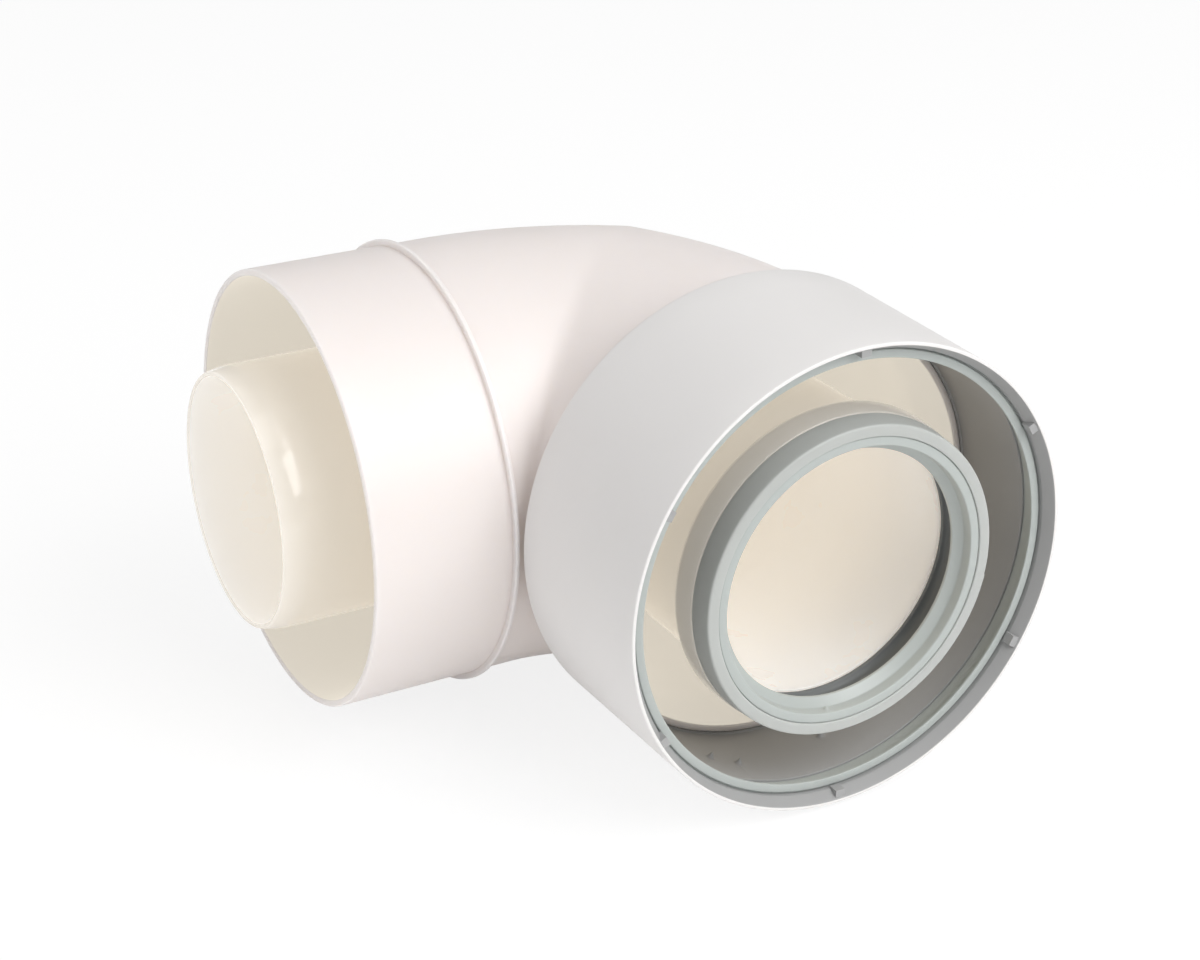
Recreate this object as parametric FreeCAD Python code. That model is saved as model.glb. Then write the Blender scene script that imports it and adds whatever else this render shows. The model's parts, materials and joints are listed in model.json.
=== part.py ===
"""Concentric 60/100 flue elbow, 90 degrees, lying on its side.

The inner pipe carries flue gas and the ring space around it carries air.
One end is a plain spigot, the other a socket with two lip seals.

Each piece is drawn about the corner, the point where the two end axes cross:
the spigot leg runs along -X, the socket leg along -Y, and +Z is up, square to
the plane of the bend. Written out, every piece is moved along X so that the
frame's origin is the centre of the spigot's stop face. Millimetres throughout.
"""

import FreeCAD
import Part
import math
import os

Vector = FreeCAD.Vector

# ---------------------------------------------------------------- driving dimensions
# Places on a leg are distances from the origin along that leg's axis.

# outer elbow: the white air pipe
OUTER_RADIUS = 50.0
OUTER_WALL = 1.5
SPIGOT_END = 87.0
SPIGOT_EDGE_ROUND = 0.5
STUB_END = 68.0
BEND_RADIUS = 65.0
BEND_TURN = 32.0
STOP_FACE = 55.0
BEAD_WIDTH = 1.0
BEAD_HEIGHT = 1.5
BEAD_EDGE = 0.3

# outer socket: the grey collar on the elbow's stub
COLLAR_BACK = 52.6
COLLAR_MOUTH = 98.3
COLLAR_BACK_RADIUS = 54.0
COLLAR_MOUTH_RADIUS = 53.4
COLLAR_EDGE = 0.5
COLLAR_BORE_RADIUS = 50.6
COLLAR_LEAD_RADIUS = 51.2
COLLAR_FLARE_START = 95.6
COLLAR_FLARE_RADIUS = 52.6
COLLAR_GROOVE_RADIUS = 52.0
COLLAR_GROOVE_START = 89.4
COLLAR_GROOVE_END = 94.4
COLLAR_RELIEF_RADIUS = 52.0
COLLAR_RELIEF_START = 55.2
COLLAR_RELIEF_END = 64.8
TAB_COUNT = 6
TAB_FIRST_ANGLE = 30.0
TAB_WIDTH = 2.2
TAB_HEIGHT = 0.5
TAB_ROOT = 1.1
TAB_SETBACK = 1.2

# inner elbow: the flue pipe, with a socket and a seal chamber at one end
INNER_RADIUS = 30.0
INNER_WALL = 1.8
INNER_SPIGOT_END = 99.1
INNER_BEND_RADIUS = 40.0
INNER_CHAMFER_LENGTH = 4.0
INNER_CHAMFER_DEPTH = 0.9
SPACER_STOP_PLACE = 53.0
SPACER_STOP_WIDTH = 1.4
SPACER_STOP_HEIGHT = 1.2
INNER_SOCKET_FLOOR = 54.0
INNER_SOCKET_TAPER = 12.0
INNER_SOCKET_RADIUS = 30.5
INNER_SOCKET_WALL = 1.9
CHAMBER_START = 86.0
CHAMBER_END = 96.0
CHAMBER_RADIUS = 33.6
BELL_RADIUS = 36.4
BELL_SHOULDER = 92.0
CAP_SEAT_RADIUS = 34.9
BELL_SHOULDER_STEP = 0.1

# cap that keeps the inner seal in its chamber
CAP_FRONT = 97.8
CAP_BACK_RADIUS = 35.9
CAP_FRONT_RADIUS = 35.4
CAP_OPENING_RADIUS = 32.8
CAP_EDGE = 0.4
CAP_PAD_CENTRE = -29.0
CAP_PAD_SPREAD = 35.0
CAP_PAD_HEIGHT = 0.8
CAP_PAD_ROOT = 0.2
CAP_PAD_BACK_STEP = 0.6
CAP_PAD_FRONT_STEP = 1.0

# lip seals, shown pressed back as they sit round a pipe
SEAL_GAP = 0.05
SEAL_LIP_CLEARANCE = 0.35
SEAL_BODY = 1.6
SEAL_NOSE_FRONT = 97.5
SEAL_NOSE_LIP_GAP = 0.5
FRONT_LIP_PLACE = 93.6
LIP_HALF_WIDTH = 0.4
LIP_ROOT_HALF_WIDTH = 0.8
OUTER_SEAL_LIP = 0.7
OUTER_SEAL_BODY = 0.6
OUTER_SEAL_EDGE = 0.2

# centring spacer between the two pipes, behind the spigot
SPACER_START = 46.0
SPACER_END = 52.2
SPACER_RING_WALL = 1.6
SPACER_FIN_WIDTH = 1.6
SPACER_FIN_ANGLES = (30.0, 150.0, 270.0)
SPACER_FIT = 0.05
SPACER_WALL_CLEARANCE = 0.1

SPIGOT_AXIS = Vector(-1, 0, 0)
SOCKET_AXIS = Vector(0, -1, 0)
UP = Vector(0, 0, 1)
CORNER = Vector(0, 0, 0)
FRAME_ORIGIN = SPIGOT_AXIS * STOP_FACE
FULL_TURN = 360.0
QUARTER_TURN = 90.0


# ---------------------------------------------------------------- shared shapes
def turned(axis, outline):
    """Solid of revolution from (distance along the axis, radius) corners."""
    corners = [axis * along + UP * radius for along, radius in outline]
    face = Part.Face(Part.makePolygon(corners + corners[:1]))
    return face.revolve(CORNER, axis, FULL_TURN)


def rod(axis, radius, start, end):
    """Plain round bar on a leg's axis."""
    return Part.makeCylinder(radius, end - start, axis * start, axis)


def direction(angle):
    """Unit direction square to the socket axis, from +X towards +Z."""
    radians = math.radians(angle)
    return Vector(math.cos(radians), 0, math.sin(radians))


def around_socket(shape, angle):
    """Turn a shape about the socket axis; positive goes from +X towards +Z."""
    copy = shape.copy()
    copy.rotate(CORNER, SOCKET_AXIS, angle)
    return copy


def mirrored_across_bend(shape):
    """Swap the two legs."""
    return shape.mirror(CORNER, Vector(1, -1, 0))


def arc_bar(radius, start, bend_radius, turn):
    """Bar that leaves the spigot leg's axis at start and bends towards the socket leg."""
    centre = SPIGOT_AXIS * start + SOCKET_AXIS * bend_radius
    disc = Part.Face(Part.Wire(Part.makeCircle(radius, SPIGOT_AXIS * start, SPIGOT_AXIS)))
    return disc.revolve(centre, -UP, turn)


# ---------------------------------------------------------------- outer elbow
def outer_half(radius, end):
    """Half of the outer elbow as a solid bar, from a leg's end to the middle plane."""
    angle = math.radians(BEND_TURN)
    along = BEND_RADIUS * math.sin(angle)
    across = BEND_RADIUS * (1 - math.cos(angle))
    start = along + across
    leg = rod(SPIGOT_AXIS, radius, start, end)
    arc = arc_bar(radius, start, BEND_RADIUS, BEND_TURN)
    heading = Vector(math.cos(angle), -math.sin(angle), 0)
    arc_end = Vector(along - start, -across, 0)
    tail = Part.makeCylinder(radius, radius, arc_end, heading)
    bar = leg.fuse([arc, tail]).removeSplitter()
    reach = 3 * end
    far_side = Part.makeBox(reach, 2 * reach, 2 * reach, Vector(0, -reach, -reach))
    far_side.rotate(CORNER, UP, -45)
    return bar.cut(far_side)


def outer_bar(radius):
    """The whole outer elbow as a solid bar with the mitre crease at its middle."""
    spigot_half = outer_half(radius, SPIGOT_END)
    socket_half = mirrored_across_bend(outer_half(radius, STUB_END))
    return spigot_half.fuse(socket_half).removeSplitter()


def outer_elbow():
    shell = outer_bar(OUTER_RADIUS).cut(outer_bar(OUTER_RADIUS - OUTER_WALL))
    root = OUTER_RADIUS - OUTER_WALL / 2
    top = OUTER_RADIUS + BEAD_HEIGHT
    back = STOP_FACE - BEAD_WIDTH
    bead = turned(SPIGOT_AXIS, [
        (back, root),
        (back, top - BEAD_EDGE),
        (back + BEAD_EDGE, top),
        (STOP_FACE - BEAD_EDGE, top),
        (STOP_FACE, top - BEAD_EDGE),
        (STOP_FACE, root),
    ])
    shell = shell.fuse(bead).removeSplitter()
    mouth = [
        edge for edge in shell.Edges
        if abs(edge.BoundBox.XMin + SPIGOT_END) < 0.01
        and abs(edge.BoundBox.XMax + SPIGOT_END) < 0.01
    ]
    return shell.makeFillet(SPIGOT_EDGE_ROUND, mouth)


# ---------------------------------------------------------------- outer socket
def collar_tab():
    """Short rib in the socket's lead-in, at the +X side."""
    depth = TAB_HEIGHT + TAB_ROOT
    length = COLLAR_MOUTH - COLLAR_GROOVE_END - TAB_SETBACK
    corner = Vector(
        COLLAR_LEAD_RADIUS - TAB_HEIGHT,
        -(COLLAR_GROOVE_END + length),
        -TAB_WIDTH / 2,
    )
    return Part.makeBox(depth, length, TAB_WIDTH, corner)


def outer_socket():
    sleeve_radius = OUTER_RADIUS + SEAL_GAP
    collar = turned(SOCKET_AXIS, [
        (COLLAR_BACK, sleeve_radius),
        (COLLAR_BACK, COLLAR_BACK_RADIUS - COLLAR_EDGE),
        (COLLAR_BACK + COLLAR_EDGE, COLLAR_BACK_RADIUS),
        (COLLAR_MOUTH - COLLAR_EDGE, COLLAR_MOUTH_RADIUS),
        (COLLAR_MOUTH, COLLAR_MOUTH_RADIUS - COLLAR_EDGE),
        (COLLAR_MOUTH, COLLAR_FLARE_RADIUS),
        (COLLAR_FLARE_START, COLLAR_LEAD_RADIUS),
        (COLLAR_GROOVE_END, COLLAR_LEAD_RADIUS),
        (COLLAR_GROOVE_END, COLLAR_GROOVE_RADIUS),
        (COLLAR_GROOVE_START, COLLAR_GROOVE_RADIUS),
        (COLLAR_GROOVE_START, COLLAR_BORE_RADIUS),
        (STUB_END + SEAL_GAP, COLLAR_BORE_RADIUS),
        (STUB_END + SEAL_GAP, sleeve_radius),
        (COLLAR_RELIEF_END, sleeve_radius),
        (COLLAR_RELIEF_END, COLLAR_RELIEF_RADIUS),
        (COLLAR_RELIEF_START, COLLAR_RELIEF_RADIUS),
        (COLLAR_RELIEF_START, sleeve_radius),
    ])
    step = FULL_TURN / TAB_COUNT
    tabs = [around_socket(collar_tab(), TAB_FIRST_ANGLE + step * number) for number in range(TAB_COUNT)]
    return collar.fuse(tabs).removeSplitter()


# ---------------------------------------------------------------- inner elbow
def inner_spigot_leg(radius, start, chamfer):
    """Straight leg of the inner pipe with its chamfered end."""
    return turned(SPIGOT_AXIS, [
        (start, 0),
        (start, radius),
        (INNER_SPIGOT_END - chamfer, radius),
        (INNER_SPIGOT_END, radius - (INNER_CHAMFER_DEPTH if chamfer else 0)),
        (INNER_SPIGOT_END, 0),
    ])


def inner_elbow():
    bore = INNER_RADIUS - INNER_WALL
    legs_start = INNER_BEND_RADIUS
    socket_outside = INNER_SOCKET_RADIUS + INNER_SOCKET_WALL
    bell_slope = BELL_RADIUS - socket_outside
    outside = inner_spigot_leg(INNER_RADIUS, legs_start, INNER_CHAMFER_LENGTH)
    stop = rod(
        SPIGOT_AXIS,
        INNER_RADIUS + SPACER_STOP_HEIGHT,
        SPACER_STOP_PLACE,
        SPACER_STOP_PLACE + SPACER_STOP_WIDTH,
    )
    bend = arc_bar(INNER_RADIUS, legs_start, INNER_BEND_RADIUS, QUARTER_TURN)
    socket = turned(SOCKET_AXIS, [
        (legs_start, 0),
        (legs_start, INNER_RADIUS),
        (INNER_SOCKET_FLOOR - INNER_SOCKET_TAPER, INNER_RADIUS),
        (INNER_SOCKET_FLOOR, socket_outside),
        (CHAMBER_START - bell_slope, socket_outside),
        (CHAMBER_START, BELL_RADIUS),
        (BELL_SHOULDER, CAP_BACK_RADIUS + BELL_SHOULDER_STEP),
        (BELL_SHOULDER, CAP_SEAT_RADIUS),
        (CHAMBER_END, CAP_SEAT_RADIUS),
        (CHAMBER_END, 0),
    ])
    outside = outside.fuse([stop, bend, socket]).removeSplitter()
    hollow_leg = rod(SPIGOT_AXIS, bore, legs_start, INNER_SPIGOT_END)
    hollow_bend = arc_bar(bore, legs_start, INNER_BEND_RADIUS, QUARTER_TURN)
    hollow_socket = turned(SOCKET_AXIS, [
        (legs_start, 0),
        (legs_start, bore),
        (INNER_SOCKET_FLOOR - INNER_SOCKET_TAPER, bore),
        (INNER_SOCKET_FLOOR, INNER_SOCKET_RADIUS),
        (CHAMBER_START, INNER_SOCKET_RADIUS),
        (CHAMBER_START, CHAMBER_RADIUS),
        (CHAMBER_END, CHAMBER_RADIUS),
        (CHAMBER_END, 0),
    ])
    hollow = hollow_leg.fuse([hollow_bend, hollow_socket]).removeSplitter()
    return outside.cut(hollow).removeSplitter()


# ---------------------------------------------------------------- seal cap
def seal_cap():
    skirt_inside = CAP_SEAT_RADIUS + SEAL_GAP
    back = BELL_SHOULDER + SEAL_GAP
    inside_face = CHAMBER_END + SEAL_GAP
    ring = turned(SOCKET_AXIS, [
        (back, skirt_inside),
        (back, CAP_BACK_RADIUS),
        (CAP_FRONT - CAP_EDGE, CAP_FRONT_RADIUS),
        (CAP_FRONT, CAP_FRONT_RADIUS - CAP_EDGE),
        (CAP_FRONT, CAP_OPENING_RADIUS),
        (inside_face, CAP_OPENING_RADIUS),
        (inside_face, skirt_inside),
    ])
    pad_start = back + CAP_PAD_BACK_STEP
    pad_end = CAP_FRONT - CAP_PAD_FRONT_STEP
    pad_ring = turned(SOCKET_AXIS, [
        (pad_start, CAP_FRONT_RADIUS - CAP_PAD_ROOT),
        (pad_start, CAP_BACK_RADIUS + CAP_PAD_HEIGHT),
        (pad_end, CAP_FRONT_RADIUS + CAP_PAD_HEIGHT),
        (pad_end, CAP_FRONT_RADIUS - CAP_PAD_ROOT),
    ])
    reach = 2 * CAP_BACK_RADIUS
    tip = SOCKET_AXIS * back
    wedge_face = Part.Face(Part.makePolygon([
        tip,
        tip + direction(-CAP_PAD_SPREAD / 2) * reach,
        tip + direction(CAP_PAD_SPREAD / 2) * reach,
        tip,
    ]))
    wedge = wedge_face.extrude(SOCKET_AXIS * (CAP_FRONT - back))
    pad = around_socket(pad_ring.common(wedge), CAP_PAD_CENTRE)
    return ring.fuse(pad).removeSplitter()


# ---------------------------------------------------------------- lip seals
def inner_seal():
    outside = CHAMBER_RADIUS - SEAL_GAP
    nose = CAP_OPENING_RADIUS - SEAL_GAP
    lip = INNER_RADIUS + SEAL_LIP_CLEARANCE
    nose_inside = lip + SEAL_NOSE_LIP_GAP
    body = outside - SEAL_BODY
    back = CHAMBER_START + SEAL_GAP
    front = CHAMBER_END - SEAL_GAP
    return turned(SOCKET_AXIS, [
        (back, outside),
        (front, outside),
        (front, nose),
        (SEAL_NOSE_FRONT, nose),
        (SEAL_NOSE_FRONT, nose_inside),
        (FRONT_LIP_PLACE + LIP_ROOT_HALF_WIDTH, nose_inside),
        (FRONT_LIP_PLACE + LIP_HALF_WIDTH, lip),
        (FRONT_LIP_PLACE - LIP_HALF_WIDTH, lip),
        (FRONT_LIP_PLACE - LIP_ROOT_HALF_WIDTH, body),
        (back, body),
    ])


def outer_seal():
    outside = COLLAR_GROOVE_RADIUS - SEAL_GAP
    lip = OUTER_RADIUS + SEAL_LIP_CLEARANCE
    back = COLLAR_GROOVE_START + SEAL_GAP
    front = COLLAR_GROOVE_END - SEAL_GAP
    lip_back = front - OUTER_SEAL_EDGE - OUTER_SEAL_LIP
    return turned(SOCKET_AXIS, [
        (back, outside),
        (front, outside),
        (front, lip + OUTER_SEAL_EDGE),
        (front - OUTER_SEAL_EDGE, lip),
        (lip_back, lip),
        (lip_back - OUTER_SEAL_BODY / 2, lip + OUTER_SEAL_BODY),
        (back, lip + OUTER_SEAL_BODY),
    ])


# ---------------------------------------------------------------- centring spacer
def centring_spacer():
    inside = INNER_RADIUS + SPACER_FIT
    outside = inside + SPACER_RING_WALL
    reach = OUTER_RADIUS - OUTER_WALL - SPACER_WALL_CLEARANCE
    length = SPACER_END - SPACER_START
    ring = turned(SPIGOT_AXIS, [
        (SPACER_START, inside),
        (SPACER_START, outside),
        (SPACER_END, outside),
        (SPACER_END, inside),
    ])
    overlap = SPACER_RING_WALL / 2
    fins = []
    corner = Vector(-SPACER_END, outside - overlap, -SPACER_FIN_WIDTH / 2)
    for angle in SPACER_FIN_ANGLES:
        fin = Part.makeBox(length, reach - outside + overlap, SPACER_FIN_WIDTH, corner)
        fin.rotate(CORNER, -SPIGOT_AXIS, angle)
        fins.append(fin)
    return ring.fuse(fins).removeSplitter()


# ---------------------------------------------------------------- write the parts
PIECES = {
    "outer_elbow": outer_elbow,
    "outer_socket": outer_socket,
    "outer_seal": outer_seal,
    "inner_elbow": inner_elbow,
    "inner_seal": inner_seal,
    "seal_cap": seal_cap,
    "centring_spacer": centring_spacer,
}

os.makedirs("parts", exist_ok=True)
for name, build in PIECES.items():
    shape = build()
    if shape.ShapeType == "Compound" and len(shape.Solids) == 1:
        shape = shape.Solids[0]
    shape.translate(-FRAME_ORIGIN)
    shape.exportStep("parts/" + name + ".step")
    print(name, shape.isValid(), len(shape.Solids), round(shape.Volume), shape.optimalBoundingBox())
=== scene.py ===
import json
import math

import bmesh
import bpy
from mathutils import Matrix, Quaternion, Vector


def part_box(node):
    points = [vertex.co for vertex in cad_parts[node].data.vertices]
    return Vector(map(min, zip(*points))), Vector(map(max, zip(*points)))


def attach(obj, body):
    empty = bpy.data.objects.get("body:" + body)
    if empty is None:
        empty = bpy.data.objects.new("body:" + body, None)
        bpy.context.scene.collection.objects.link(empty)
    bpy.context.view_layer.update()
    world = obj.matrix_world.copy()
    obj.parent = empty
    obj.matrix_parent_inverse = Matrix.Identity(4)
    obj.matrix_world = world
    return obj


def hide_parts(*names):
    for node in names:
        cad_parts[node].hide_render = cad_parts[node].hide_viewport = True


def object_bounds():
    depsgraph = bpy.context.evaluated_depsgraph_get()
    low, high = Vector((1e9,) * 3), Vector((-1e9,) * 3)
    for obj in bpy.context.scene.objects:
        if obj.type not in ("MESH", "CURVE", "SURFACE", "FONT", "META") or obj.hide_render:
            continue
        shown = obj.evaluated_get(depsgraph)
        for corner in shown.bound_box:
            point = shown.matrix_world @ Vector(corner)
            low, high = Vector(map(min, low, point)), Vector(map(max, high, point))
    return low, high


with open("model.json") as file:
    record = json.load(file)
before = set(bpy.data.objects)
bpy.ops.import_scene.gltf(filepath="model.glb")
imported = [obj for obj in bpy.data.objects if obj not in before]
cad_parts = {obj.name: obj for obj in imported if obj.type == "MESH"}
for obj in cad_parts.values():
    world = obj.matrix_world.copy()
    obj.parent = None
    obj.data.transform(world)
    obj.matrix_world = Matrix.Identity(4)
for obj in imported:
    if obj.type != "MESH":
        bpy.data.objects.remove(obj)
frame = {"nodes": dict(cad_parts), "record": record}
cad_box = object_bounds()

# ---------------------------------------------------------------- places taken from the frame
# Lengths are in millimetres and become metres once, when a mesh is made.
# A place on a leg is its distance from the corner, where the two legs' axes cross. Directions
# round a leg are in degrees: 0 is the outside of the bend, and 90 is up.
MM = 0.001
mounts = {mount["name"]: mount for mount in frame["record"]["mounts"]}
CORNER_X = mounts["inner_socket"]["pos_m"][0] / MM


def leg_distances(node, leg):
    """Nearest and farthest distance of a node from the corner, along a leg."""
    low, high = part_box(node)
    if leg == "spigot":
        return CORNER_X - high.x / MM, CORNER_X - low.x / MM
    return -high.y / MM, -low.y / MM


def outer_radius(node):
    """Radius of a node's widest part."""
    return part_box(node)[1].z / MM


OUTER_RADIUS = mounts["outer_spigot"]["dims"]["r_mm"]
INNER_RADIUS = mounts["inner_spigot"]["dims"]["r_mm"]
INNER_SOCKET_RADIUS = mounts["inner_socket"]["dims"]["r_mm"]
COLLAR_BORE = mounts["outer_socket"]["dims"]["r_mm"]
STOP_FACE = CORNER_X - mounts["outer_spigot"]["pos_m"][0] / MM
SPIGOT_END = leg_distances("outer_elbow", "spigot")[1]
STUB_END = leg_distances("outer_elbow", "socket")[1]
BEAD_TOP = outer_radius("outer_elbow")
INNER_END = leg_distances("inner_elbow", "spigot")[1]
CHAMBER_END = leg_distances("inner_elbow", "socket")[1]
BELL_RADIUS = outer_radius("inner_elbow")
COLLAR_BACK, COLLAR_MOUTH = leg_distances("outer_socket", "socket")
COLLAR_BACK_RADIUS = outer_radius("outer_socket")
CAP_BACK, CAP_FRONT = leg_distances("seal_cap", "socket")
CAP_BACK_RADIUS = outer_radius("seal_cap")
CHAMBER_START, NOSE_FRONT = leg_distances("inner_seal", "socket")
CHAMBER_RADIUS = outer_radius("inner_seal")
GROOVE_START, GROOVE_END = leg_distances("outer_seal", "socket")
SEAL_SEAT = outer_radius("outer_seal")

# ---------------------------------------------------------------- sizes the frame doesn't hold
FIT_GAP = 0.05

# outer pipe: straight, then a bend in two arcs that meet in a crease
OUTER_WALL = 1.5
BEAD_WIDTH = 1.0
BEND_RADIUS = 65.0
BEND_TURN = math.radians(32.0)
BEND_ZONE = 53.0
CREASE_BLEND_TOP = 1.2
CREASE_BLEND_THROAT = 2.8

# flue pipe: smooth bend, socket and bell
INNER_WALL = 1.8
INNER_BEND_RADIUS = 40.0
INNER_CHAMFER_LENGTH = 4.0
INNER_CHAMFER_DEPTH = 0.9
SOCKET_FLOOR = 54.0
SOCKET_TAPER = 12.0
SOCKET_WALL = 1.9
SPACER_STOP_PLACE = 53.0
SPACER_STOP_WIDTH = 1.4
SPACER_STOP_HEIGHT = 1.2
BELL_SHOULDER = 92.0
BELL_SHOULDER_STEP = 0.1

# cap over the inner seal, with one raised pad
CAP_SEAT_RADIUS = 34.9
CAP_FRONT_RADIUS = 35.4
CAP_OPENING_RADIUS = 32.8
CAP_TAPER = 0.1
CAP_FRONT_BAND = 1.0
PAD_HEIGHT = 0.8
PAD_START = -46.5
PAD_END = -11.5
PAD_RAMP = 0.6
PAD_BACK_MARGIN = 0.8
PAD_FRONT_MARGIN = 0.6

# inner seal: a nose in the cap's opening, one lip that leans back into the pipe, and a small
# nub at a (distance, direction) on the nose
NOSE_INSIDE = 30.6
LIP_ROOT = 94.9
LIP_TIP = 93.5
LIP_TIP_RADIUS = 28.6
LIP_THICKNESS = 0.7
LIP_BACK_ROOT = 0.98
LIP_ROOT_LEAN = 0.6
LIP_CAVITY_ROOT = 2.1
SEAL_CAVITY_RADIUS = 32.2
SEAL_BACK_RADIUS = 31.0
SEAL_BACK_EDGE = 0.8
SEAL_BACK_SLOPE = 0.7
NUB = (95.9, -97.0)
NUB_SHARE = 0.5
NUB_STEP = 0.4
NUB_MARGIN = 0.1
NUB_REACH_ANGLE = 1.8

# outer seal: a ring whose edge stands in the collar's mouth
OUTER_SEAL_INSIDE = 51.0
OUTER_EDGE_OUTSIDE = 50.7
OUTER_EDGE_INSIDE = 48.8
OUTER_EDGE_WIDTH = 0.6
OUTER_EDGE_LEAN = 0.2
OUTER_LIP_RADIUS = 50.2
OUTER_LIP_PLACE = 0.7
OUTER_LIP_ROOT = 1.6

# collar: lead-in with ribs, flared mouth, the hollow behind its bore, and small pips on the
# bore, each at a (distance, direction)
LEAD_RADIUS = 51.2
FLARE_START = 95.6
FLARE_RADIUS = 52.6
GROOVE_RADIUS = 52.0
COLLAR_MOUTH_RADIUS = 53.4
RELIEF_START = 55.2
RELIEF_END = 64.8
RIB_ANGLES = [30 + 60 * number for number in range(6)]
RIB_HALF_ANGLE = 1.25
RIB_TOP_RADIUS = 50.8
RIB_BACK = 95.2
RIB_FRONT = 97.7
RIB_RAMP = 0.15
RIB_RAMP_ANGLE = 0.15
PIPS = [(80.6, -117.0), (82.0, -109.0), (78.0, -81.0)]
PIP_HEIGHT = 1.5
PIP_SIZE = 0.6
PIP_REACH = 0.9
PIP_REACH_ANGLE = 1.05

# fineness of the meshes: steps, and the longest straight run in each outline
AROUND = 240
ROUND_STEPS = 4
BEND_STATIONS = 56
STATION_PACKING = 1.5
BUMP_STEPS = 9
COLLAR_RUN = 8.0
FLUE_RUN = 2.0
CAP_RUN = 1.5
SEAL_RUN = 1.2
SHARP_ANGLE = math.radians(35)

# directions that make room for an edge, a pip or the nub, and the difference that counts as none
EDGE_ROOM = 0.1
PIP_ROOM = 0.2
NUB_ROOM = 0.3
SAME = 0.01


# ---------------------------------------------------------------- outlines
def rounded(corners):
    """Closed outline of (along, radius, round) corners, each round one turned into a short curve."""
    points = []
    count = len(corners)
    for number, (along, radius, size) in enumerate(corners):
        here = Vector((along, radius))
        if size == 0:
            points.append(here)
            continue
        before = Vector(corners[number - 1][:2])
        after = Vector(corners[(number + 1) % count][:2])
        into = (before - here).normalized() * size
        out = (after - here).normalized() * size
        for step in range(ROUND_STEPS + 1):
            u = step / ROUND_STEPS
            points.append(here + into * (1 - u) ** 2 + out * u ** 2)
    return points


def with_short_runs(points, longest):
    """The same closed outline with its long straight runs cut into shorter ones."""
    result = []
    for number, here in enumerate(points):
        there = points[(number + 1) % len(points)]
        parts = max(1, math.ceil((there - here).length / longest))
        for part in range(parts):
            result.append(here.lerp(there, part / parts))
    return result


def nearest(points, along, radius):
    """Number of the outline point closest to a corner."""
    corner = Vector((along, radius))
    return min(range(len(points)), key=lambda number: (points[number] - corner).length)


def places_near(centre, span):
    """Evenly spaced values that cover a centre plus and minus a span."""
    return [centre + span * (2 * number / (BUMP_STEPS - 1) - 1) for number in range(BUMP_STEPS)]


def worked_in(angles, extra, room):
    """A list of directions with extra ones added, in place of any old one closer than room."""
    wrapped = [angle % 360 for angle in extra]
    kept = [angle for angle in angles if all(abs(angle - other) > room for other in wrapped)]
    return sorted(kept + wrapped)


def even_angles(extra=()):
    """Directions round a leg's axis, in degrees, with extra ones worked in."""
    return worked_in([360.0 * number / AROUND for number in range(AROUND)], extra, EDGE_ROOM)


def turned_away(angle, other):
    """How far, in degrees, two directions round the axis are apart."""
    return abs((angle - other + 180) % 360 - 180)


def bump_height(centre, along, radius, angle):
    """Height of a small round moulded bump, centred on (along, angle), at a point near it."""
    centre_along, centre_angle = centre
    across = math.radians(turned_away(angle, centre_angle)) * radius
    return PIP_HEIGHT * math.exp(-((along - centre_along) ** 2 + across ** 2) / PIP_SIZE ** 2)


# ---------------------------------------------------------------- mapping outlines to places
def on_leg(leg, along, radius, angle):
    """Place on a straight leg; angle 0 is the outside of the bend on both legs."""
    turn = math.radians(angle)
    side = radius * math.cos(turn)
    height = radius * math.sin(turn)
    if leg == "spigot":
        return Vector((CORNER_X - along, side, height))
    return Vector((CORNER_X + side, -along, height))


def on_socket_leg(along, radius, angle):
    return on_leg("socket", along, radius, angle)


INNER_ARC = INNER_BEND_RADIUS * math.pi / 2


def past_bend(along):
    """Flue pipe's running length at a distance from the corner on the socket leg."""
    return along - 2 * INNER_BEND_RADIUS + INNER_ARC


def on_flue_pipe(along, radius, angle):
    """Place along the flue pipe. On the spigot leg, along is minus the distance from the corner,
    and it goes on growing as a running length round the bend and out along the socket leg.
    """
    turn = math.radians(angle)
    side = radius * math.cos(turn)
    height = radius * math.sin(turn)
    along_arc = along + INNER_BEND_RADIUS
    if along_arc <= 0:
        return Vector((CORNER_X + along, side, height))
    if along_arc < INNER_ARC:
        bent = along_arc / INNER_BEND_RADIUS
        reach = INNER_BEND_RADIUS + side
        x = CORNER_X - INNER_BEND_RADIUS + reach * math.sin(bent)
        y = -INNER_BEND_RADIUS + reach * math.cos(bent)
        return Vector((x, y, height))
    return Vector((CORNER_X + side, INNER_ARC - along_arc - INNER_BEND_RADIUS, height))


# ---------------------------------------------------------------- outer pipe's creased bend
BEND_START = BEND_RADIUS * (math.sin(BEND_TURN) + 1 - math.cos(BEND_TURN))
BEND_LEAD = BEND_ZONE - BEND_START


def half_line(side, travelled):
    """Point on the line that runs at this side offset, this far in from the bend zone's edge."""
    reach = BEND_RADIUS + side
    if travelled <= BEND_LEAD:
        return Vector((-BEND_ZONE + travelled, side))
    bent = min((travelled - BEND_LEAD) / reach, BEND_TURN)
    tail = travelled - BEND_LEAD - reach * bent
    x = -BEND_START + reach * math.sin(bent) + tail * math.cos(bent)
    y = -BEND_RADIUS + reach * math.cos(bent) - tail * math.sin(bent)
    return Vector((x, y))


def crossing(side):
    """Length travelled along a line before it meets the elbow's middle plane."""
    near, far = 0.0, 3 * BEND_ZONE
    halvings = 40
    for _ in range(halvings):
        middle = (near + far) / 2
        point = half_line(side, middle)
        if point.x < point.y:
            near = middle
        else:
            far = middle
    return near


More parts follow.
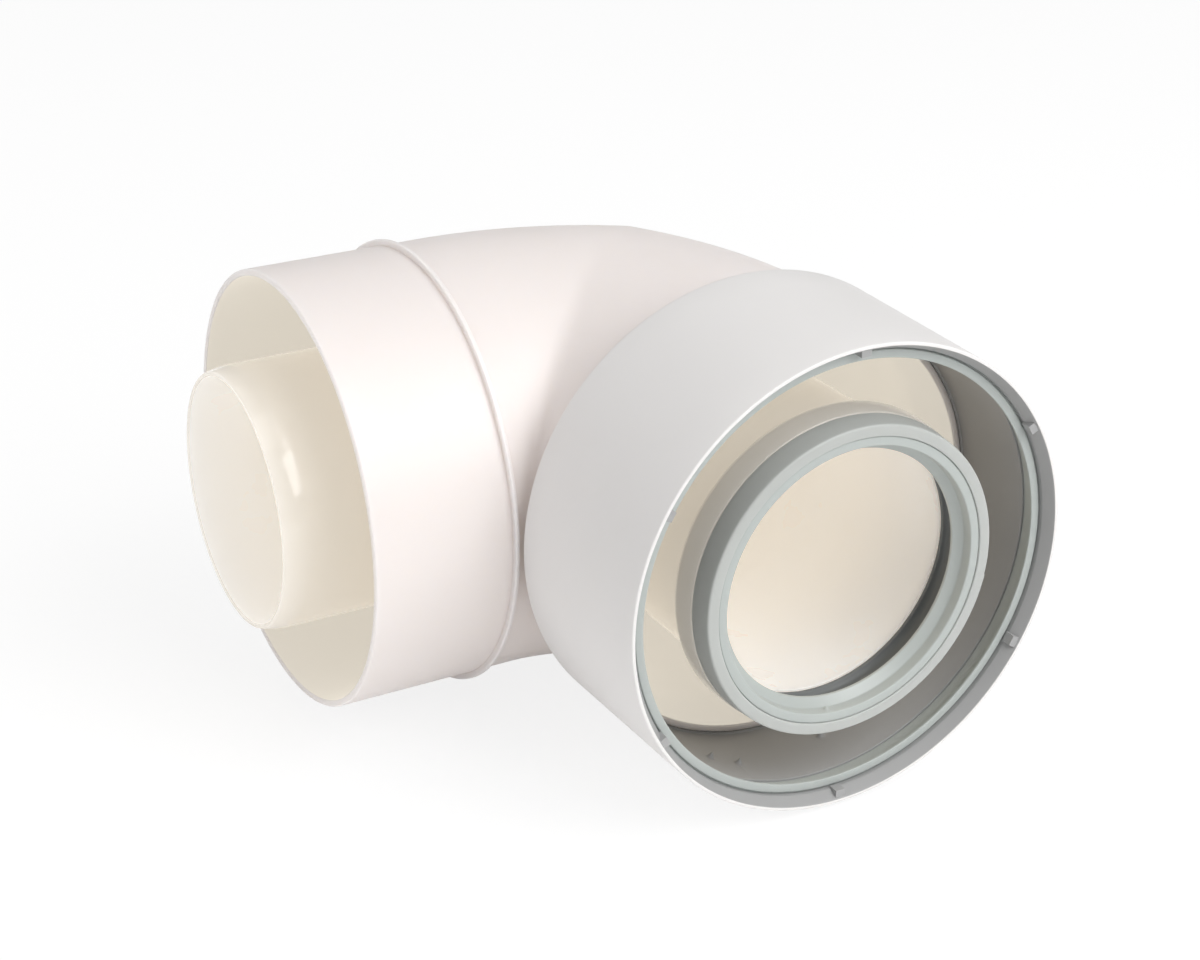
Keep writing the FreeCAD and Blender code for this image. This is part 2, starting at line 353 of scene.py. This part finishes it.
def creased_line(side, share, end, blend):
    """Point on the whole line; share runs from -1 to 1 and is 0 at the blended crease."""
    along = share * end

    def whole(distance):
        point = half_line(side, end - abs(distance))
        return point if distance <= 0 else Vector((point.y, point.x))

    if abs(along) >= blend:
        return whole(along)
    u = (along / blend + 1) / 2
    start, peak, finish = whole(-blend), whole(0.0), whole(blend)
    return start * (1 - u) ** 2 + peak * 2 * u * (1 - u) + finish * u ** 2


def bend_ring(radius, angle):
    """One line of points through the creased bend, for one direction round the pipe."""
    turn = math.radians(angle)
    side = radius * math.cos(turn)
    height = radius * math.sin(turn)
    end = crossing(side)
    throat_share = max(0.0, -math.cos(turn))
    blend = CREASE_BLEND_TOP + (CREASE_BLEND_THROAT - CREASE_BLEND_TOP) * throat_share
    points = []
    for station in range(1, BEND_STATIONS):
        u = 2 * station / BEND_STATIONS - 1
        share = math.copysign(abs(u) ** STATION_PACKING, u)
        flat = creased_line(side, share, end, blend)
        points.append(Vector((CORNER_X + flat.x, flat.y, height)))
    return points


# ---------------------------------------------------------------- meshes
def ring_mesh(name, rings, first_inside=None):
    """Closed mesh from equal rings of points; faces from first_inside on get the second material."""
    count = len(rings[0])
    vertices = [point * MM for ring in rings for point in ring]
    faces = []
    for number in range(len(rings)):
        following = (number + 1) % len(rings)
        for step in range(count):
            after = (step + 1) % count
            faces.append((
                number * count + step,
                number * count + after,
                following * count + after,
                following * count + step,
            ))
    mesh = bpy.data.meshes.new(name)
    mesh.from_pydata(vertices, [], faces)
    if first_inside is not None:
        for number, face in enumerate(mesh.polygons):
            face.material_index = 1 if number % count >= first_inside else 0
    piece = bpy.data.objects.new(name, mesh)
    bpy.context.scene.collection.objects.link(piece)
    return piece


def turned(name, outline, angles, place=on_socket_leg, relief=None, first_inside=None):
    """Piece made by carrying a closed outline round a leg's axis; relief adds to the radius."""
    rings = []
    for angle in angles:
        ring = []
        for point in outline:
            radius = point.y + (relief(point.x, point.y, angle) if relief else 0)
            ring.append(place(point.x, radius, angle))
        rings.append(ring)
    return ring_mesh(name, rings, first_inside)


def finished(piece, materials, node):
    """Smooth the shading, point the faces outward and stand the piece in for its node."""
    shape = bmesh.new()
    shape.from_mesh(piece.data)
    bmesh.ops.recalc_face_normals(shape, faces=shape.faces)
    if shape.calc_volume(signed=True) < 0:
        bmesh.ops.reverse_faces(shape, faces=shape.faces)
    shape.to_mesh(piece.data)
    shape.free()
    piece.data.shade_smooth()
    piece.data.set_sharp_from_angle(angle=SHARP_ANGLE)
    for material in materials:
        piece.data.materials.append(material)
    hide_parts(node)
    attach(piece, "root")


# ---------------------------------------------------------------- the pieces
def outer_pipe(outside_material, painted_inside_material):
    inside = OUTER_RADIUS - OUTER_WALL
    bead_back = STOP_FACE - BEAD_WIDTH
    spigot = rounded([
        (SPIGOT_END, inside, 0.3),
        (SPIGOT_END, OUTER_RADIUS, 0.5),
        (STOP_FACE, OUTER_RADIUS, 0.25),
        (STOP_FACE, BEAD_TOP, 0.35),
        (bead_back, BEAD_TOP, 0.35),
        (bead_back, OUTER_RADIUS, 0.25),
        (BEND_ZONE, OUTER_RADIUS, 0),
        (BEND_ZONE, inside, 0),
    ])[:-1]
    stub = rounded([
        (BEND_ZONE, inside, 0),
        (BEND_ZONE, OUTER_RADIUS, 0),
        (STUB_END, OUTER_RADIUS, 0.4),
        (STUB_END, inside, 0.4),
    ])[1:]
    rings = []
    for angle in even_angles():
        ring = [on_leg("spigot", point.x, point.y, angle) for point in spigot]
        ring += bend_ring(OUTER_RADIUS, angle)
        ring += [on_leg("socket", point.x, point.y, angle) for point in stub]
        ring.append(on_leg("socket", BEND_ZONE, inside, angle))
        ring += reversed(bend_ring(inside, angle))
        ring.append(on_leg("spigot", BEND_ZONE, inside, angle))
        rings.append(ring)
    bend_points = BEND_STATIONS - 1
    # faces from here on are the inside, which gets the painted light material
    first_inside = len(spigot) + bend_points + len(stub) - 1
    piece = ring_mesh("outer_pipe", rings, first_inside)
    finished(piece, [outside_material, painted_inside_material], "outer_elbow")


def collar(outside_material, painted_inside_material):
    sleeve = OUTER_RADIUS + FIT_GAP
    stub_stop = STUB_END + FIT_GAP
    flare_slope = (FLARE_RADIUS - LEAD_RADIUS) / (COLLAR_MOUTH - FLARE_START)
    flare_places = (RIB_FRONT + RIB_RAMP, RIB_FRONT, (RIB_FRONT + FLARE_START) / 2)
    flare = [(along, LEAD_RADIUS + flare_slope * (along - FLARE_START), 0) for along in flare_places]
    pip_places = {near for along, _ in PIPS for near in places_near(along, PIP_REACH)}
    outline = with_short_runs(rounded([
        (COLLAR_BACK, sleeve, 0),
        (COLLAR_BACK, COLLAR_BACK_RADIUS, 0.7),
        (COLLAR_MOUTH, COLLAR_MOUTH_RADIUS, 0.35),
        (COLLAR_MOUTH, FLARE_RADIUS, 0.25),
        *flare,
        (FLARE_START, LEAD_RADIUS, 0.2),
        (RIB_BACK, LEAD_RADIUS, 0),
        (RIB_BACK - RIB_RAMP, LEAD_RADIUS, 0),
        (GROOVE_END, LEAD_RADIUS, 0.1),
        (GROOVE_END, GROOVE_RADIUS, 0),
        (GROOVE_START, GROOVE_RADIUS, 0),
        (GROOVE_START, COLLAR_BORE, 0.2),
        *[(along, COLLAR_BORE, 0) for along in sorted(pip_places, reverse=True)],
        (stub_stop, COLLAR_BORE, 0.3),
        (stub_stop, sleeve, 0),
        (RELIEF_END, sleeve, 0),
        (RELIEF_END, GROOVE_RADIUS, 0.5),
        (RELIEF_START, GROOVE_RADIUS, 0.5),
        (RELIEF_START, sleeve, 0),
    ]), COLLAR_RUN)

    def ribs_and_pips(along, radius, angle):
        on_rib = min(turned_away(angle, rib) for rib in RIB_ANGLES) <= RIB_HALF_ANGLE + SAME
        in_lead = RIB_BACK - SAME < along < RIB_FRONT + SAME
        on_lead = LEAD_RADIUS - SAME < radius < FLARE_RADIUS
        if on_rib and in_lead and on_lead:
            return RIB_TOP_RADIUS - radius
        if abs(radius - COLLAR_BORE) < SAME:
            return -max(bump_height(pip, along, radius, angle) for pip in PIPS)
        return 0

    edges = []
    for rib in RIB_ANGLES:
        for half in (RIB_HALF_ANGLE, RIB_HALF_ANGLE + RIB_RAMP_ANGLE):
            edges += [rib - half, rib + half]
    angles = even_angles(edges)
    for _, pip_angle in PIPS:
        angles = worked_in(angles, places_near(pip_angle, PIP_REACH_ANGLE), PIP_ROOM)
    # faces from the mouth's flare inward get the darker painted shade material
    first_inside = nearest(outline, COLLAR_MOUTH, FLARE_RADIUS)
    piece = turned("socket_collar", outline, angles, relief=ribs_and_pips, first_inside=first_inside)
    finished(piece, [outside_material, painted_inside_material], "outer_socket")


def flue_pipe(outside_material, painted_inside_material):
    bore = INNER_RADIUS - INNER_WALL
    socket_outside = INNER_SOCKET_RADIUS + SOCKET_WALL
    bell_slope = BELL_RADIUS - socket_outside
    stop_end = SPACER_STOP_PLACE + SPACER_STOP_WIDTH
    stop_top = INNER_RADIUS + SPACER_STOP_HEIGHT
    shoulder_radius = CAP_BACK_RADIUS + BELL_SHOULDER_STEP
    chamber_inside = CHAMBER_RADIUS + FIT_GAP
    chamber_back = CHAMBER_START - FIT_GAP
    outline = with_short_runs(rounded([
        (-INNER_END, bore, 0.35),
        (-INNER_END, INNER_RADIUS - INNER_CHAMFER_DEPTH, 0.35),
        (-INNER_END + INNER_CHAMFER_LENGTH, INNER_RADIUS, 1.2),
        (-stop_end, INNER_RADIUS, 0.2),
        (-stop_end, stop_top, 0.3),
        (-SPACER_STOP_PLACE, stop_top, 0.3),
        (-SPACER_STOP_PLACE, INNER_RADIUS, 0.2),
        (past_bend(SOCKET_FLOOR - SOCKET_TAPER), INNER_RADIUS, 4.0),
        (past_bend(SOCKET_FLOOR), socket_outside, 4.0),
        (past_bend(CHAMBER_START - bell_slope), socket_outside, 1.5),
        (past_bend(CHAMBER_START), BELL_RADIUS, 0.9),
        (past_bend(BELL_SHOULDER), shoulder_radius, 0.4),
        (past_bend(BELL_SHOULDER), CAP_SEAT_RADIUS, 0),
        (past_bend(CHAMBER_END), CAP_SEAT_RADIUS, 0.3),
        (past_bend(CHAMBER_END), chamber_inside, 0.3),
        (past_bend(chamber_back), chamber_inside, 0.4),
        (past_bend(chamber_back), INNER_SOCKET_RADIUS, 0.4),
        (past_bend(SOCKET_FLOOR), INNER_SOCKET_RADIUS, 5.0),
        (past_bend(SOCKET_FLOOR - SOCKET_TAPER), bore, 1.5),
    ]), FLUE_RUN)
    # faces from the chamber's end on are the bore, which gets the lighter painted light material
    first_inside = nearest(outline, past_bend(CHAMBER_END), CHAMBER_RADIUS)
    piece = turned("flue_pipe", outline, even_angles(), place=on_flue_pipe, first_inside=first_inside)
    finished(piece, [outside_material, painted_inside_material], "inner_elbow")


def cap(material):
    seat = CAP_SEAT_RADIUS + FIT_GAP
    inside = CHAMBER_END + FIT_GAP
    outline = with_short_runs(rounded([
        (CAP_BACK, seat, 0.2),
        (CAP_BACK, CAP_BACK_RADIUS, 0.4),
        (CAP_FRONT - CAP_FRONT_BAND, CAP_FRONT_RADIUS + CAP_TAPER, 0),
        (CAP_FRONT, CAP_FRONT_RADIUS, 0.5),
        (CAP_FRONT, CAP_OPENING_RADIUS, 0.3),
        (inside, CAP_OPENING_RADIUS, 0.15),
        (inside, seat, 0),
    ]), CAP_RUN)

    def pad(along, radius, angle):
        wrapped = (angle + 180) % 360 - 180
        in_turn = PAD_START - SAME <= wrapped <= PAD_END + SAME
        in_length = CAP_BACK + PAD_BACK_MARGIN < along < CAP_FRONT - PAD_FRONT_MARGIN
        outside = radius > CAP_FRONT_RADIUS - CAP_TAPER
        return PAD_HEIGHT if in_turn and in_length and outside else 0

    edges = [PAD_START, PAD_START - PAD_RAMP, PAD_END, PAD_END + PAD_RAMP]
    piece = turned("seal_cap_ring", outline, even_angles(edges), relief=pad)
    finished(piece, [material], "seal_cap")


def inner_lip_seal(material, painted_shade_material):
    shoulder = CHAMBER_END - FIT_GAP
    nose = CAP_OPENING_RADIUS - FIT_GAP
    lip_back = LIP_TIP - LIP_THICKNESS
    lip_back_root = LIP_ROOT - LIP_BACK_ROOT
    cavity_front = LIP_ROOT - LIP_CAVITY_ROOT
    slope_start = CHAMBER_START + SEAL_BACK_EDGE
    outline = with_short_runs(rounded([
        (CHAMBER_START, CHAMBER_RADIUS, 0.3),
        (shoulder, CHAMBER_RADIUS, 0.3),
        (shoulder, nose, 0),
        (NOSE_FRONT, nose, 0.3),
        (NOSE_FRONT, NOSE_INSIDE, 0.35),
        *[(NUB[0] + step * NUB_STEP, NOSE_INSIDE, 0) for step in (2, 1, 0, -1)],
        (LIP_ROOT, NOSE_INSIDE, 0.3),
        (LIP_TIP, LIP_TIP_RADIUS, 0.2),
        (lip_back, LIP_TIP_RADIUS, 0.2),
        (lip_back_root, SEAL_CAVITY_RADIUS - LIP_ROOT_LEAN, 0.3),
        (cavity_front, SEAL_CAVITY_RADIUS, 0.5),
        (slope_start + SEAL_BACK_SLOPE, SEAL_CAVITY_RADIUS, 0.8),
        (slope_start, SEAL_BACK_RADIUS, 0.3),
        (CHAMBER_START, SEAL_BACK_RADIUS, 0.2),
    ]), SEAL_RUN)

    def nub(along, radius, angle):
        on_nose = radius < NOSE_INSIDE + NUB_MARGIN and along > LIP_ROOT
        return -NUB_SHARE * bump_height(NUB, along, radius, angle) if on_nose else 0

    angles = worked_in(even_angles(), places_near(NUB[1], NUB_REACH_ANGLE), NUB_ROOM)
    # faces from the lip's back on get the near-black painted shade material
    first_inside = nearest(outline, lip_back, LIP_TIP_RADIUS)
    piece = turned("inner_lip_seal", outline, angles, relief=nub, first_inside=first_inside)
    finished(piece, [material, painted_shade_material], "inner_seal")


def outer_lip_seal(material):
    edge_front = GROOVE_END + OUTER_EDGE_WIDTH
    outline = with_short_runs(rounded([
        (GROOVE_START, SEAL_SEAT, 0.2),
        (GROOVE_END, SEAL_SEAT, 0.1),
        (GROOVE_END, OUTER_EDGE_OUTSIDE + OUTER_EDGE_LEAN, 0.1),
        (edge_front, OUTER_EDGE_OUTSIDE, 0.25),
        (edge_front, OUTER_EDGE_INSIDE, 0.25),
        (GROOVE_END, OUTER_EDGE_INSIDE, 0.2),
        (GROOVE_END - OUTER_LIP_PLACE, OUTER_LIP_RADIUS, 0.3),
        (GROOVE_END - OUTER_LIP_ROOT, OUTER_SEAL_INSIDE, 0.5),
        (GROOVE_START, OUTER_SEAL_INSIDE, 0.3),
    ]), SEAL_RUN)
    piece = turned("outer_lip_seal", outline, even_angles())
    finished(piece, [material], "outer_seal")


# ---------------------------------------------------------------- materials
# Noise scales are in turns per metre, and bump depths in metres.
CLOUD_SCALE = 18
GLOSS_SCALE = 60
GLOSS_SPREAD = 0.05
GRAIN_SCALE = 2500
GRAIN_DEPTH = 0.00002
RIPPLE_SCALE = 45
RIPPLE_DEPTH = 0.0003
RIPPLE_STRENGTH = 0.25
NOISE_LOW = 0.3
NOISE_HIGH = 0.7
SCATTER_COLOUR = (1.0, 0.97, 0.9)


def new_material(name):
    material = bpy.data.materials.new(name)
    material.use_nodes = True
    nodes = material.node_tree.nodes
    return material, nodes, material.node_tree.links, nodes["Principled BSDF"]


def noise(nodes, links, scale, detail):
    """Noise in the object's own metres, so its grain keeps a real size."""
    where = nodes.new("ShaderNodeTexCoord")
    texture = nodes.new("ShaderNodeTexNoise")
    texture.inputs["Scale"].default_value = scale
    texture.inputs["Detail"].default_value = detail
    links.new(where.outputs["Object"], texture.inputs["Vector"])
    return texture.outputs["Fac"]


def mapped(nodes, links, value, low, high):
    """Noise value spread between low and high."""
    spread = nodes.new("ShaderNodeMapRange")
    spread.inputs["From Min"].default_value = NOISE_LOW
    spread.inputs["From Max"].default_value = NOISE_HIGH
    spread.inputs["To Min"].default_value = low
    spread.inputs["To Max"].default_value = high
    links.new(value, spread.inputs["Value"])
    return spread.outputs["Result"]


def bump(nodes, links, height, strength, depth):
    node = nodes.new("ShaderNodeBump")
    node.inputs["Strength"].default_value = strength
    node.inputs["Distance"].default_value = depth
    links.new(height, node.inputs["Height"])
    return node


def moulded_plastic(name, colour, cloud, roughness, grain, scatter, depth, painted_glow=(0, 0, 0)):
    """Moulded plastic: cloudy colour, grain, faint ripples and scattering; its glow colour is painted
    light, an emission for light let through.
    """
    material, nodes, links, shader = new_material(name)
    mix = nodes.new("ShaderNodeMix")
    mix.data_type = "RGBA"
    mix.inputs["A"].default_value = (*colour, 1)
    mix.inputs["B"].default_value = (*[channel - cloud for channel in colour], 1)
    cloudiness = mapped(nodes, links, noise(nodes, links, CLOUD_SCALE, detail=3), 0, 1)
    links.new(cloudiness, mix.inputs["Factor"])
    links.new(mix.outputs["Result"], shader.inputs["Base Color"])
    gloss = noise(nodes, links, GLOSS_SCALE, detail=4)
    rough = mapped(nodes, links, gloss, roughness - GLOSS_SPREAD, roughness + GLOSS_SPREAD)
    links.new(rough, shader.inputs["Roughness"])
    speckle = noise(nodes, links, GRAIN_SCALE, detail=2)
    fine = bump(nodes, links, speckle, grain, GRAIN_DEPTH)
    wave = noise(nodes, links, RIPPLE_SCALE, detail=1)
    ripple = bump(nodes, links, wave, RIPPLE_STRENGTH, RIPPLE_DEPTH)
    links.new(fine.outputs["Normal"], ripple.inputs["Normal"])
    links.new(ripple.outputs["Normal"], shader.inputs["Normal"])
    shader.inputs["Subsurface Weight"].default_value = scatter
    shader.inputs["Subsurface Radius"].default_value = SCATTER_COLOUR
    shader.inputs["Subsurface Scale"].default_value = depth
    # painted light: an emission that stands in for light coming through the wall
    shader.inputs["Emission Color"].default_value = (*painted_glow, 1)
    shader.inputs["Emission Strength"].default_value = 1.0
    return material


def white_plastic():
    """Air pipe's outside: faintly pink white, and matt."""
    return moulded_plastic(
        "white_plastic", (0.765, 0.717, 0.703), cloud=0.01, roughness=0.42, grain=0.3, scatter=1.0,
        depth=0.003)


def white_plastic_inside_painted_light():
    """Air pipe's inside: painted light, a dimmer copy of the white plastic with a warm painted glow for
    light coming through the wall.
    """
    return moulded_plastic(
        "white_plastic_inside_painted_light", (0.36, 0.345, 0.325), cloud=0.01, roughness=0.42, grain=0.3, scatter=0.5,
        depth=0.006, painted_glow=(0.445, 0.415, 0.36))


def cream_plastic():
    """Flue pipe's outside: creamy and glossy, with a darkened base and a painted glow for light let
    through the wall.
    """
    return moulded_plastic(
        "cream_plastic", (0.45, 0.425, 0.39), cloud=0.01, roughness=0.14, grain=0.1, scatter=1.0,
        depth=0.012, painted_glow=(0.18, 0.167, 0.145))


def cream_plastic_inside_painted_light():
    """Flue pipe's bore: painted light, a much lighter copy of the cream plastic with a faint glow, and
    less glossy.
    """
    return moulded_plastic(
        "cream_plastic_inside_painted_light", (0.98, 0.925, 0.855), cloud=0.01, roughness=0.3, grain=0.1, scatter=1.0,
        depth=0.012, painted_glow=(0.11, 0.098, 0.083))


def grey_plastic():
    """Collar's outside: pale grey with a fine grain."""
    return moulded_plastic(
        "grey_plastic", (0.75, 0.735, 0.725), cloud=0.02, roughness=0.45, grain=0.5, scatter=0.1,
        depth=0.001)


def grey_plastic_inside_painted_shade():
    """Collar's inside: painted shade, a darker copy of the collar's grey plastic."""
    return moulded_plastic(
        "grey_plastic_inside_painted_shade", (0.345, 0.345, 0.345), cloud=0.02, roughness=0.45, grain=0.5, scatter=0.1,
        depth=0.001)


def cap_plastic():
    """Cap: mid grey with a green tinge, a little see-through."""
    return moulded_plastic(
        "cap_plastic", (0.44, 0.455, 0.44), cloud=0.03, roughness=0.38, grain=0.3, scatter=0.3,
        depth=0.002)


def silicone():
    """Seals: grey-green silicone."""
    return moulded_plastic(
        "silicone", (0.415, 0.445, 0.43), cloud=0.02, roughness=0.35, grain=0.2, scatter=0.1,
        depth=0.001)


def silicone_painted_shade():
    """Painted shade: a near-black copy of the seal silicone on the back of the inner seal's lip, inside
    the chamber.
    """
    return moulded_plastic(
        "silicone_painted_shade", (0.13, 0.14, 0.14), cloud=0.01, roughness=0.5, grain=0.2, scatter=0.0,
        depth=0.001)


pipe_white = white_plastic()
seal_grey = silicone()
outer_pipe(pipe_white, white_plastic_inside_painted_light())
collar(grey_plastic(), grey_plastic_inside_painted_shade())
# the flue pipe's outside and bore both carry painted light
flue_pipe(cream_plastic(), cream_plastic_inside_painted_light())
cap(cap_plastic())
inner_lip_seal(seal_grey, silicone_painted_shade())
outer_lip_seal(seal_grey)
spacer = frame["nodes"]["centring_spacer"]
spacer.data.materials.clear()
spacer.data.materials.append(pipe_white)


# ---------------------------------------------------------------- floor, light and camera
# Sizes here are in metres, powers in watts and directions in degrees. Azimuth 0 looks at the
# socket's mouth, and grows towards the +X side.
FLOOR_HALF_SIZE = 4.0
FLOOR_DROP = 0.0005
FLOOR_CLOUD_SCALE = 3
FLOOR_TONES = (0.92, 0.94)
FLOOR_ROUGHNESS = 0.9
FLOOR_GLOW = 0.11
FLOOR_WHITE_SHARE = 0.8
SKY_STRENGTH = 0.37
LIGHT_DISTANCE = 1.6
LIGHT_SIZE = 1.0
CAMERA_AZIMUTH = -29.39
CAMERA_ELEVATION = 25.32
CAMERA_ROLL = 0.51
CAMERA_DISTANCE = 0.545
CAMERA_LENS = 72.1
CAMERA_SENSOR = 36.0
CAMERA_NEAR = 0.01
CAMERA_TARGET = Vector((CORNER_X - 22, -29, 0)) * MM


def floor():
    """Pale floor that the camera sees as nearly white, with only a trace of the object's shadow."""
    material, nodes, links, shader = new_material("pale_floor")
    tone = mapped(nodes, links, noise(nodes, links, FLOOR_CLOUD_SCALE, detail=2), *FLOOR_TONES)
    links.new(tone, shader.inputs["Base Color"])
    shader.inputs["Roughness"].default_value = FLOOR_ROUGHNESS
    shader.inputs["Emission Color"].default_value = (1, 1, 1, 1)
    shader.inputs["Emission Strength"].default_value = FLOOR_GLOW
    seen = nodes.new("ShaderNodeLightPath")
    white = nodes.new("ShaderNodeEmission")
    blend = nodes.new("ShaderNodeMixShader")
    share = nodes.new("ShaderNodeMath")
    share.operation = "MULTIPLY"
    share.inputs[1].default_value = FLOOR_WHITE_SHARE
    links.new(seen.outputs["Is Camera Ray"], share.inputs[0])
    links.new(share.outputs["Value"], blend.inputs["Fac"])
    links.new(shader.outputs["BSDF"], blend.inputs[1])
    links.new(white.outputs["Emission"], blend.inputs[2])
    links.new(blend.outputs["Shader"], nodes["Material Output"].inputs["Surface"])
    height = cad_box[0].z - FLOOR_DROP
    signs = [(-1, -1), (1, -1), (1, 1), (-1, 1)]
    corners = [(x * FLOOR_HALF_SIZE, y * FLOOR_HALF_SIZE, height) for x, y in signs]
    mesh = bpy.data.meshes.new("floor")
    mesh.from_pydata(corners, [], [(0, 1, 2, 3)])
    mesh.materials.append(material)
    plane = bpy.data.objects.new("floor", mesh)
    bpy.context.scene.collection.objects.link(plane)


def outward(azimuth, elevation):
    """Unit vector from the object towards a lamp or the camera."""
    turn, rise = math.radians(azimuth), math.radians(elevation)
    return Vector((math.sin(turn) * math.cos(rise), -math.cos(turn) * math.cos(rise), math.sin(rise)))


def aimed(name, data, target, away, distance):
    """Object at a distance from a target, looking back at it."""
    thing = bpy.data.objects.new(name, data)
    thing.location = target + away * distance
    thing.rotation_mode = "QUATERNION"
    thing.rotation_quaternion = (-away).to_track_quat("-Z", "Y")
    bpy.context.scene.collection.objects.link(thing)
    return thing


def softbox(name, azimuth, elevation, power):
    """Square area light aimed at the object's middle."""
    data = bpy.data.lights.new(name, "AREA")
    data.shape = "SQUARE"
    data.size = LIGHT_SIZE
    data.energy = power
    middle = (cad_box[0] + cad_box[1]) / 2
    aimed(name, data, middle, outward(azimuth, elevation), LIGHT_DISTANCE)


def surroundings():
    """White world, dimmer as a light than as the background the camera sees."""
    world = bpy.data.worlds.new("studio")
    world.use_nodes = True
    nodes, links = world.node_tree.nodes, world.node_tree.links
    sky = nodes["Background"]
    sky.inputs["Color"].default_value = (1, 1, 1, 1)
    seen = nodes.new("ShaderNodeLightPath")
    power = nodes.new("ShaderNodeMapRange")
    power.inputs["To Min"].default_value = SKY_STRENGTH
    power.inputs["To Max"].default_value = 1.0
    links.new(seen.outputs["Is Camera Ray"], power.inputs["Value"])
    links.new(power.outputs["Result"], sky.inputs["Strength"])
    bpy.context.scene.world = world


def camera():
    data = bpy.data.cameras.new("camera")
    data.lens = CAMERA_LENS
    data.sensor_width = CAMERA_SENSOR
    data.clip_start = CAMERA_NEAR
    away = outward(CAMERA_AZIMUTH, CAMERA_ELEVATION)
    eye = aimed("camera", data, CAMERA_TARGET, away, CAMERA_DISTANCE)
    roll = Quaternion((0, 0, 1), math.radians(CAMERA_ROLL))
    eye.rotation_quaternion = eye.rotation_quaternion @ roll
    bpy.context.scene.camera = eye


floor()
surroundings()
softbox("key", azimuth=20, elevation=38, power=15)
softbox("side", azimuth=45, elevation=50, power=7)
softbox("above", azimuth=0, elevation=80, power=3)
softbox("left", azimuth=-95, elevation=30, power=4.5)
softbox("back", azimuth=-160, elevation=10, power=2.8)
camera()
bpy.context.scene.view_settings.view_transform = "Standard"
